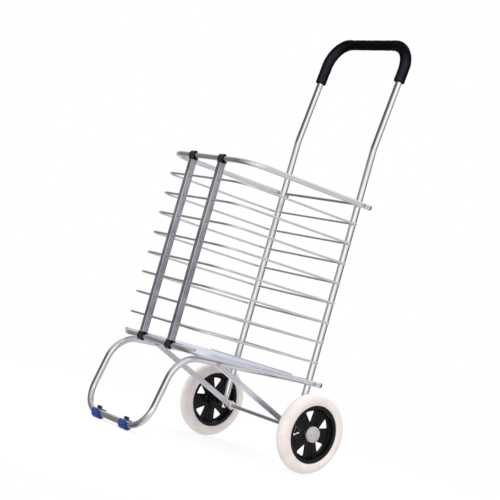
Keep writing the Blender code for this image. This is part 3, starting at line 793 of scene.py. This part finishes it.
def build_brace(side, word):
    """A pressed strap: rolled edges along its run, flat where the bolt and the axle pass."""
    node = f"brace_{word}"
    bolt = Vector((side * BRACE_X, BOLT.y, BOLT.z))
    axle = Vector((side * BRACE_X, AXLE.y, AXLE.z))
    length = (axle - bolt).length
    run = (axle - bolt).normalized()
    across = Vector((0, -run.z, run.y))
    rows, flows = [], []
    half_thick = BRACE_THICK / 2
    half_turn = [pi * i / 8 - pi / 2 for i in range(9)]

    def half_width(distance):
        if distance < 0:
            return sqrt(max(0, BRACE_HALF**2 - distance**2))
        if distance > length:
            return sqrt(max(0, EYE_R**2 - (distance - length) ** 2))
        return BRACE_HALF + (EYE_R - BRACE_HALF) * smooth_step(length - 0.016, length - 0.002, distance)

    spots = [-BRACE_HALF * cos(pi / 2 * i / 8) for i in range(8)]
    spots += [length * i / 40 for i in range(41)]
    spots += [length + EYE_R * sin(pi / 2 * i / 8) for i in range(1, 9)]
    for distance in spots:
        half = max(half_width(distance), 0.0004)
        rolled = smooth_step(0.006, 0.018, distance)
        rolled *= 1 - smooth_step(length - 0.022, length - 0.01, distance)
        edge = min(half_thick, half)
        flank = half - edge
        section = [(flank * 0.5, -half_thick)]
        section += [(flank + edge * cos(t), half_thick * sin(t)) for t in half_turn]
        section += [(flank * 0.62, half_thick), (flank * 0.48, half_thick - 0.0014 * rolled)]
        section += [(-w, t) for w, t in reversed(section)]
        centre = bolt + run * distance
        rows.append([centre + across * w + X_AXIS * (side * t) for w, t in section])
        flows.append([(w, t, distance) for w, t in section])
    piece(node, "strap", Shell().loft(rows, flows), FLAT_METAL)


def build_brace_fixing(side, word):
    head_from = STAND_X + STAND_R + GAP
    place = Vector((0, BOLT.y, BOLT.z))
    inner, outer = span(f"brace_nut_{word}")
    profile = dome(BOLT_HEAD_R, BOLT_HEAD, head_from + BOLT_EDGE)
    profile += [(BOLT_HEAD_R, head_from), (BOLT_R, head_from), (BOLT_R, inner - BOLT_END)]
    profile += [(BOLT_R - 0.0006, inner - BOLT_END - 0.0006), (0, inner - BOLT_END - 0.0006)]
    bolt = lathe(Shell(), profile, place, 24, side)
    piece(f"brace_bolt_{word}", "steel", bolt, STEEL)
    nut = slab(Shell(), circle(NUT_R, 6), place, side * inner, side * outer, 0.0005)
    piece(f"brace_nut_{word}", "steel", nut, STEEL)


def lobed(radius, depth, lobes, steps):
    out = []
    for i in range(steps):
        turn = tau * i / steps
        size = radius - depth * (0.5 - 0.5 * cos(lobes * turn)) ** 0.7
        out.append((size * cos(turn), size * sin(turn)))
    return out


def build_axle():
    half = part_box("axle")[1].x
    profile = [(0, half), (0.0032, half), (0.004, half - 0.0008)]
    piece("axle", "rod", lathe(Shell(), mirrored(profile), AXLE, 32), AXLE_STEEL)


def build_axle_fixings(side, word):
    low, high = span(f"axle_sleeve_{word}")
    profile = [(BORE_R, low), (0.0076, low), (SLEEVE_R, low + LIP), (SLEEVE_R, high - LIP)]
    profile += [(0.0076, high), (BORE_R, high)]
    shell = lathe(Shell(), profile, AXLE, 40, side)
    piece(f"axle_sleeve_{word}", "ring", shell, ALUMINIUM)
    low, high = span(f"axle_nut_{word}")
    shell = slab(Shell(), lobed(LOCK_NUT_R, 0.002, 8, 96), AXLE, side * (low + 0.002), side * high, 0.0008)
    slab(shell, circle(LOCK_NUT_HEX_R, 6), AXLE, side * low, side * (low + 0.003), 0.0006)
    # Painted highlight: the lock nut uses the brighter copy of the plated steel.
    piece(f"axle_nut_{word}", "steel", shell, LIT_STEEL)
    low, high = span(f"wheel_spacer_{word}")
    steps = [(BORE_R, 0), (0.0064, 0), (SPACER_R, LIP), (SPACER_R, 0.002), (0.006, 0.0028)]
    profile = [(radius, low + out) for radius, out in steps] + [(0.0058, (low + high) / 2)]
    profile += [(radius, high - out) for radius, out in reversed(steps)]
    shell = lathe(Shell(), profile, AXLE, 40, side)
    piece(f"wheel_spacer_{word}", "bush", shell, BLACK_PLASTIC)


# Basket

def build_ring(node, z, body):
    corners = both_sides([(ARM_X, HINGE_Y + RING_TAIL - PLUG_OUT, z), (ARM_X, FRONT_Y, z)])
    path = filled(rounded_path(corners, (0, RING_BEND, RING_BEND, 0)))
    piece(node, "tube", tube(Shell(), path, RING_R, RING_WALL, depth=0.022), ALUMINIUM, body)
    plugs = Shell()
    for end in (path[0], path[-1]):
        stem = [end + Vector((0, y, 0)) for y in (-0.008, -0.004, PLUG_OUT * 0.5)]
        sweep(plugs, stem, circle(RING_R - RING_WALL - 0.0002, 24))
        head = [end + Vector((0, y, 0)) for y in (0.0001, PLUG_OUT * 0.6, PLUG_OUT)]
        sweep(plugs, head, circle(RING_R - 0.0002, 24), ends=0.0005)
    piece(node, "plugs", plugs, BLACK_PLASTIC, body)


def build_rung(number):
    """A closed wire loop, with the slight wander of wire bent in a jig."""
    z = rung_z(number)
    corners = both_sides([(ARM_X, HINGE_Y, z), (ARM_X, FRONT_Y, z)])
    radii = (RUNG_BACK_BEND, RUNG_FRONT_BEND, RUNG_FRONT_BEND, RUNG_BACK_BEND)
    path = filled(rounded_path(corners, radii, 8, closed=True), 0.012, closed=True)
    wandered = []
    for point in path:
        reach = (HINGE_Y - point.y) / (HINGE_Y - FRONT_Y)
        lift = 0.0003 * sin(19 * point.x + 1.7 * number) * reach
        wave = sin(11 * point.y + 2.3 * number + 3 * copysign(1, point.x))
        lift += 0.0004 * wave * reach * (1 - reach) * 4
        wandered.append(point + Vector((0, 0, lift)))
    shell = sweep(Shell(), wandered, circle(RUNG_R, THIN), closed=True)
    piece(f"rung_{number}", "wire", shell, WIRE, f"rung_body_{number}")


def build_bar(side, word):
    """A rectangular tube with a punched rim round each hole that a rung passes."""
    node = f"front_bar_{word}"
    low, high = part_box(node)
    x = side * BAR_X
    outer = rounded_box(BAR_WIDTH / 2, BAR_DEPTH / 2, BAR_ROUND, 4)
    inner = rounded_box(BAR_WIDTH / 2 - BAR_WALL, BAR_DEPTH / 2 - BAR_WALL, BAR_ROUND * 0.4, 4)
    trimmed = inset(outer, LIP)
    spots = [(inner, low.z), (trimmed, low.z), (outer, low.z + LIP)]
    spots += [(outer, high.z - LIP), (trimmed, high.z), (inner, high.z)]
    rows = [[Vector((x + u, FRONT_Y + v, z)) for u, v in shape] for shape, z in spots]
    flows = [[(u, v, z) for u, v in shape] for shape, z in spots]
    shell = Shell().loft(rows, flows, along=True, caps=False)
    for number, way in product(RUNGS, WAYS):
        spot = Vector((x + way * BAR_WIDTH / 2, FRONT_Y, rung_z(number)))
        collar(shell, spot, RUNG_R + 0.0002, 0.0046, 0.0007, way, steps=20)
    # Painted shade: the bars use the darker copy of the tube aluminium.
    piece(node, "tube", shell, SHADED_BAR_METAL, "front_bars")


def clip_outline():
    """A C open toward the back: thick in front, its two arms thinning to points."""
    outer, inner = [], []
    for i in range(29):
        turn = radians(-136 + 272 * i / 28)
        thick = (CLIP_OUT - CLIP_IN) * (1 - 0.82 * smooth_step(radians(75), radians(136), abs(turn)))
        radius = CLIP_IN + thick
        outer.append((-radius * cos(turn), -radius * sin(turn)))
        inner.append((-CLIP_IN * cos(turn), -CLIP_IN * sin(turn)))
    return outer + inner[::-1]


def build_clip(level, z, toward_bar, side, word):
    x = side * BAR_X
    centre = Vector((0, FRONT_Y, z))
    shell = slab(Shell(), clip_outline(), centre, x - CLIP_HALF, x + CLIP_HALF, 0.0005)
    section = rounded_box(CLIP_HALF, 0.0085, 0.0016, 4)
    rows = []
    for rise, shrink in ((0.0048, 0.0008), (0.006, 0), (CLIP_BLOCK - 0.0006, 0), (CLIP_BLOCK, 0.0005)):
        shape = inset(section, shrink)
        rows.append([Vector((x + u, FRONT_Y + v, z + toward_bar * rise)) for u, v in shape])
    shell.loft(rows)
    rib = [(-0.006, -0.0035), (-0.0094, -0.0024), (-0.0094, 0.0024), (-0.006, 0.0035)]
    slab(shell, rib, centre, x - 0.0022, x + 0.0022, 0.0004)
    piece(f"clip_{level}_{word}", "grip", shell, BLACK_PLASTIC, "front_bars")


def plate_section(y):
    """The sheet's outer line across the basket at one y, from lip to lip, with rounded folds."""
    corners = both_sides([(-PLATE_SIDE, 0, -PLATE_LIP), (-PLATE_SIDE, 0, PLATE_TOP)])
    out = []
    for point in filled(rounded_path(corners, (0, PLATE_BEND, PLATE_BEND, 0), 6), 0.012):
        flat = 1 if point.z > PLATE_TOP - 1e-6 else 0
        sag = 0.0004 * sin(point.x * 21 + y * 9) * sin(y * 17 + 1) - 0.0004
        out.append((point.x, point.z + sag * flat * smooth_step(0, 0.03, PLATE_SIDE - abs(point.x))))
    return out


def sheet_cutter(outline):
    """An outline of (x, y) that cuts right through the sheet."""
    levels = (BASE_Z - 0.03, BASE_Z + 0.03)
    return Shell().loft([[Vector((x, y, z)) for x, y in outline] for z in levels])


def build_plate():
    """The sheet, cut round along the rail at its front corners, with lips there and a hem at the back."""
    low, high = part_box("base_plate")
    count = 36
    rows = []
    for i in range(count + 1):
        y = low.y + (high.y - low.y) * i / count
        outer = plate_section(y)
        inner = []
        for x, z in outer:
            pull = min(1, max(0, (z + PLATE_LIP) / PLATE_TOP))
            on_side = abs(x) > PLATE_SIDE - 1e-6
            inner_x = x - copysign(SHEET, x) if on_side else x * (1 - SHEET / PLATE_SIDE)
            inner.append((inner_x, z - SHEET * pull))
        rows.append([Vector((x, y, BASE_Z + z)) for x, z in outer + inner[::-1]])
    shell = Shell().loft(rows)
    cutters = []
    arc_x = ARM_X - RING_BEND
    arc_y = FRONT_Y + RING_BEND
    reach = PLATE_SIDE - arc_x
    edge = PLATE_TOP - 0.0001
    lip = [(0, -PLATE_LIP), (0, edge - 0.0005), (0.0006, edge), (SHEET, edge), (SHEET, -PLATE_LIP)]
    lips = Shell()
    last = asin((arc_y - low.y) / reach)
    for side in WAYS:
        foot = Vector((side * arc_x, arc_y, BASE_Z))
        outs = [Vector((side * cos(last * i / 14), -sin(last * i / 14), 0)) for i in range(15)]
        lips.loft([[foot + out * (reach - inward) + Vector((0, 0, z)) for inward, z in lip] for out in outs])
        turns = [pi / 2 * i / 12 for i in range(13)]
        cut_r = reach - GAP / 2
        outline = [(arc_x + cut_r * cos(turn), arc_y - cut_r * sin(turn)) for turn in turns]
        outline += [(arc_x, low.y - 0.03), (PLATE_SIDE + 0.02, low.y - 0.03), (PLATE_SIDE + 0.02, arc_y)]
        cutters.append(sheet_cutter([(side * x, y) for x, y in outline]))
        slot = rounded_box(SLOT_HALF, SLOT_DEEP, 0.004, 5)
        cutters.append(sheet_cutter([(side * BAR_X + u, low.y + v) for u, v in slot]))
    mesh = carved(shell, cutters, "base_plate_work")
    piece("base_plate", "sheet", mesh, SHEET_METAL, "basket_base")
    piece("base_plate", "lips", lips, SHEET_METAL, "basket_base")
    half = PLATE_SIDE - 0.006
    ends = [Vector((x, high.y - 0.0016, BASE_Z + PLATE_TOP + 0.0004)) for x in (-half, half)]
    hem = sweep(Shell(), filled(ends, 0.03), circle(0.0016, THIN), ends=0.0004)
    piece("base_plate", "hem", hem, SHEET_METAL, "basket_base")


def build_rivets():
    face = PLATE_SIDE
    for (side, word), number in product(SIDES, (1, 2)):
        node = f"plate_rivet_{word}_{number}"
        centre = middle(node)
        profile = dome(RIVET_HEAD_R, RIVET_HEAD, face) + [(RIVET_HEAD_R, face), (RIVET_R, face)]
        profile += [(RIVET_R, face - RIVET_REACH), (0, face - RIVET_REACH)]
        shell = lathe(Shell(), profile, Vector((0, centre.y, centre.z)), 24, side)
        # Painted highlight: the rivet heads use the brighter copy of the plated steel.
        piece(node, "head", shell, LIT_STEEL, "basket_base")


# Wheels

def tyre_profile():
    """A full round section: wide soft shoulders, and flanks that run down to the rim's flanges."""
    half = 0.0154
    waist = 0.0725
    seat = 0.0638
    power = 2 / 2.2
    points = []
    for i in range(33):
        turn = pi * i / 32
        x = half * copysign(abs(cos(turn)) ** power, cos(turn))
        points.append((waist + (WHEEL_R - waist) * sin(turn) ** power, x))
    left = [(waist - 0.003, -half + 0.0003), (seat + 0.001, -half + 0.0012), (seat, -half + 0.0024)]
    right = [(r, -x) for r, x in reversed(left)]
    return points + left + right


def window_outline(grow=0):
    half, top = 0.0135 + grow, 0.05 + grow
    corners = [(0, 0, 0.0225 - grow * 1.6), (0, half, top), (0, -half, top)]
    return rounded_path(corners, (0.002 + grow, 0.0034 + grow, 0.0034 + grow), 6, closed=True)


def build_hub(side, word, centre):
    """Dished hub: deep rim, web with five windows, beads round them, and a pair of ribs on each spoke."""
    rim = 0.0125
    web = 0.0016
    boss_r = 0.0165
    flange = [(HUB_R, rim - 0.0012), (0.0628, rim), (0.0566, rim), (0.0556, rim - 0.001)]
    flange += [(0.0536, web + 0.0015), (0.0522, web)]
    profile = [(radius, -out) for radius, out in flange]
    profile += [(boss_r + 0.0035, -web), (boss_r + 0.0008, -web - 0.002), (boss_r, -0.0145)]
    profile += [(boss_r - 0.0008, -0.0153), (HUB_BORE_R, -0.0153), (HUB_BORE_R, 0.0062)]
    profile += [(boss_r - 0.0008, 0.0062), (boss_r, 0.0055), (boss_r + 0.0035, web + 0.0012)]
    profile += reversed(flange)
    solid = lathe(Shell(), profile, centre, 120, side)
    turns = [Matrix.Rotation(WINDOW_TURNS[side] + tau * k / SPOKES, 3, "X") for k in range(SPOKES)]
    window = window_outline()
    faces = (centre - X_AXIS * 0.012, centre + X_AXIS * 0.012)
    cutters = [Shell().loft([[face + turn @ point for point in window] for face in faces]) for turn in turns]
    mesh = carved(solid, cutters, f"hub_{word}_work")
    piece(f"hub_{word}", "body", mesh, HUB_BLACK, f"wheel_{word}", sharp=30)
    trim = Shell()
    for turn in turns:
        for level in (-web, web):
            path = [centre + X_AXIS * level + turn @ point for point in window_outline(0.0012)]
            sweep(trim, path, circle(0.001, 10), closed=True)
    for k, way, offset in product(range(SPOKES), (RIGHT, LEFT), (-RIB_SHIFT, RIB_SHIFT)):
        turn = Matrix.Rotation(WINDOW_TURNS[side] + tau * (k + 0.5) / SPOKES, 3, "X")
        add_rib(trim, centre, turn, offset, way, web - 0.0005)
    piece(f"hub_{word}", "ribs", trim, HUB_BLACK, f"wheel_{word}")


def add_rib(shell, centre, turn, offset, way, base):
    """A moulded rib from the boss to the rim, higher at both its ends."""
    rows, flows = [], []
    for i in range(15):
        share = i / 14
        radius = RIB_FROM + (RIB_TO - RIB_FROM) * share
        top = RIB_HEIGHT * (0.55 + 0.45 * (2 * share - 1) ** 2)
        flank = [(0.0011, 0), (0.0009, top - 0.0004), (0.0005, top)]
        section = [(-across, rise) for across, rise in flank] + flank[::-1]
        lean = offset * (1 + 0.55 * (share - 0.5))
        row = [turn @ Vector((way * (base + rise), lean + across, radius)) for across, rise in section]
        rows.append([centre + point for point in row])
        flows.append(row)
    shell.loft(rows, flows)


def build_wheel(side, word):
    centre = Vector((side * WHEEL_X, AXLE.y, AXLE.z))
    build_hub(side, word, centre)
    shell = lathe(Shell(), tyre_profile(), centre, 160, side)
    piece(f"tyre_{word}", "rubber", shell, TYRE, f"wheel_{word}", sharp=60)
    face = 0.015
    r = 0.0173
    profile = [
        (0, face), (0.006, face - 0.0001), (0.011, face - 0.0003), (r - 0.003, face - 0.0006),
        (r - 0.0014, face - 0.0011), (r - 0.0004, face - 0.0019), (r, face - 0.003),
        (r, 0.0072), (r - 0.0006, 0.0066), (HUB_BORE_R, 0.0066), (HUB_BORE_R, 0.0106), (0, 0.0106),
    ]
    cap = lathe(Shell(), profile, centre, 72, side)
    piece(f"hub_cap_{word}", "disc", cap, GREY_PLASTIC, f"wheel_{word}")


# Studio

CAMERA_AT = AXLE + Vector((2.378, -2.0019, 0.1746))
CAMERA_WAY = Vector((-0.78815, 0.61277, 0.05768))
CAMERA_UP = Vector((-0.12385, -0.2497, 0.96037))
CAMERA_LENS = 98.55
LIGHT_SIZE = 1.6
CAMERA_AZIMUTH = atan2(-CAMERA_WAY.y, -CAMERA_WAY.x)


def add_camera():
    data = bpy.data.cameras.new("camera")
    data.lens = CAMERA_LENS
    camera = add_object("camera", data)
    back = -CAMERA_WAY.normalized()
    side = CAMERA_UP.cross(back).normalized()
    up = back.cross(side)
    turn = Matrix((side, up, back)).transposed().to_4x4()
    camera.matrix_world = Matrix.Translation(CAMERA_AT) @ turn
    scene.camera = camera


def add_area(name, place, target, power):
    """A large soft light that the camera and the metal don't see."""
    data = bpy.data.lights.new(name, "AREA")
    data.shape = "RECTANGLE"
    data.size = data.size_y = LIGHT_SIZE
    data.energy = power
    light = add_object(name, data)
    light.location = place
    light.rotation_mode = "QUATERNION"
    light.rotation_quaternion = (Vector(target) - Vector(place)).to_track_quat("-Z", "Y")
    light.visible_glossy = False
    light.visible_camera = False


def add_ramp(nodes, value, stops):
    node = nodes.add("ValToRGB", Fac=value)
    node.color_ramp.interpolation = "EASE"
    elements = node.color_ramp.elements
    while len(elements) < len(stops):
        elements.new(0.5)
    for element, (place, colour) in zip(elements, stops):
        element.position = place
        element.color = (*colour, 1) if isinstance(colour, tuple) else (colour, colour, colour, 1)
    return node.outputs["Color"]


def add_world():
    """A white room for the camera. What the pieces reflect is a studio with pale panels and darker gaps."""
    world = bpy.data.worlds.new("studio")
    scene.world = world
    world.use_nodes = True
    nodes = Nodes(world.node_tree)
    nodes.tree.nodes.clear()
    parts = nodes.add("SeparateXYZ", Vector=nodes.add("TexCoord").outputs["Generated"]).outputs
    azimuth = nodes.math("ARCTAN2", parts["Y"], parts["X"])
    turned = nodes.math("DIVIDE", nodes.math("SUBTRACT", azimuth, CAMERA_AZIMUTH), tau)
    round_share = nodes.math("FRACT", nodes.math("ADD", turned, 1.5))
    height = nodes.math("ADD", nodes.math("MULTIPLY", parts["Z"], 0.5), 0.5)
    seen = add_ramp(nodes, round_share, BANDS[0])
    for stops, edge in zip(BANDS[1:], BAND_EDGES):
        seen = nodes.blend(nodes.sharpen(height, *edge), seen, add_ramp(nodes, round_share, stops))

    def background(colour, strength=1):
        return nodes.add("Background", Color=colour, Strength=strength).outputs["Background"]

    white = (1, 1, 1)
    rays = nodes.add("LightPath").outputs
    shader = nodes.mix_shaders(rays["Is Glossy Ray"], background(white, AMBIENT), background(seen))
    shader = nodes.mix_shaders(rays["Is Camera Ray"], shader, background(white))
    nodes.add("OutputWorld", Surface=shader)


# What the metal reflects, in bands from straight down to straight up. Each band goes once round: 0.5 is
# behind the camera, 0.75 is to its right, 0.25 to its left, 0 and 1 behind the part.
BANDS = (
    ((0, 0.55), (0.15, 0.2), (0.21, 0.12), (0.3, 0.12), (0.42, 0.4), (0.5, 0.6), (0.6, 0.7),
     (0.71, (0.74, 0.73, 0.78)), (0.83, 0.55), (1, 0.55)),
    ((0, 0.8), (0.17, 0.25), (0.25, 0.15), (0.38, 0.5), (0.44, 1.15), (0.53, 1.2), (0.62, 0.85),
     (0.7, (0.7, 0.68, 0.72)), (0.8, 0.5), (0.88, 0.3), (0.95, 0.7), (1, 0.8)),
    ((0, 0.9), (0.08, 0.6), (0.17, 0.3), (0.23, (0.26, 0.25, 0.28)), (0.31, 0.5), (0.38, 0.75),
     (0.44, 1.15), (0.53, 1.15), (0.6, 0.8), (0.66, (0.52, 0.48, 0.52)), (0.72, (0.45, 0.41, 0.46)),
     (0.76, 0.14), (0.8, 0.03), (0.87, 0.04), (0.91, 0.2), (0.96, 0.8), (1, 0.9)),
    ((0, 0.9), (0.08, 0.6), (0.17, 0.2), (0.27, 0.05), (0.35, 0.1), (0.42, 0.35), (0.48, 0.8), (0.56, 1.25),
     (0.62, 1.15), (0.7, 0.7), (0.8, 0.45), (0.9, 0.15), (0.96, 0.8), (1, 0.9)),
    ((0, 0.9), (0.21, 0.45), (0.35, 0.55), (0.5, 0.7), (0.7, (0.78, 0.78, 0.84)), (1, 0.9)),
)
BAND_EDGES = ((0.26, 0.4), (0.44, 0.51), (0.54, 0.6), (0.68, 0.86))
AMBIENT = 0.95


def add_floor():
    """A pale floor that fades out round the part, so that it meets the white room with no edge."""
    rings = [0.0005, 0.15, 0.3, 0.45, 0.6, 0.8, 1, 1.2, 1.4]
    rows = [[Vector((u, v, -0.0003)) for u, v in circle(radius, 64)] for radius in rings]
    mesh = Shell().loft(rows, caps=False).mesh("floor")
    floor = add_object("floor", mesh)
    look = Look("floor_paper", (0.9, 0.9, 0.9), roughness=0.9)
    grain = look.noise(300)
    look.colour(look.blend(look.sharpen(grain, 0.3, 0.7), (0.9, 0.9, 0.905), (0.885, 0.885, 0.89)))
    length = look.add("VectorMath", {"operation": "LENGTH"}, Vector=look.flow)
    fade = look.sharpen(length.outputs["Value"], 0.3, 1.25, 0.72, 1)
    clear = look.add("BsdfTransparent").outputs["BSDF"]
    faded = look.mix_shaders(fade, look.shader.outputs["BSDF"], clear)
    look.connect(faded, look.tree.nodes["Material Output"].inputs["Surface"])
    mesh.materials.append(look.material)
    floor.visible_glossy = False


build_handle()
build_grip()
build_cross_rod("top_cross_rod", TOP_Z)
build_cross_rod("bottom_cross_rod", BASE_Z)
build_ring("top_ring", TOP_Z, "top_rail")
build_ring("bottom_ring", BASE_Z, "basket_base")
for number in RUNGS:
    build_rung(number)
build_stand()
build_axle()
build_plate()
build_rivets()
for side, word in SIDES:
    build_bar(side, word)
    build_clip("top", TOP_Z, -1, side, word)
    build_clip("bottom", BASE_Z, 1, side, word)
    build_foot(side, word)
    build_brace(side, word)
    build_brace_fixing(side, word)
    build_axle_fixings(side, word)
    build_wheel(side, word)

add_floor()
add_world()
add_camera()
add_area("key", (1.2, -2, 2.4), (0, 0, 0.45), 50)
add_area("fill", (-1.8, -1.2, 1.6), (0, 0, 0.4), 25)
add_area("back", (-0.6, 2, 2.2), (0, 0, 0.5), 30)
scene.view_settings.view_transform = "Standard"
scene.view_settings.look = "None"
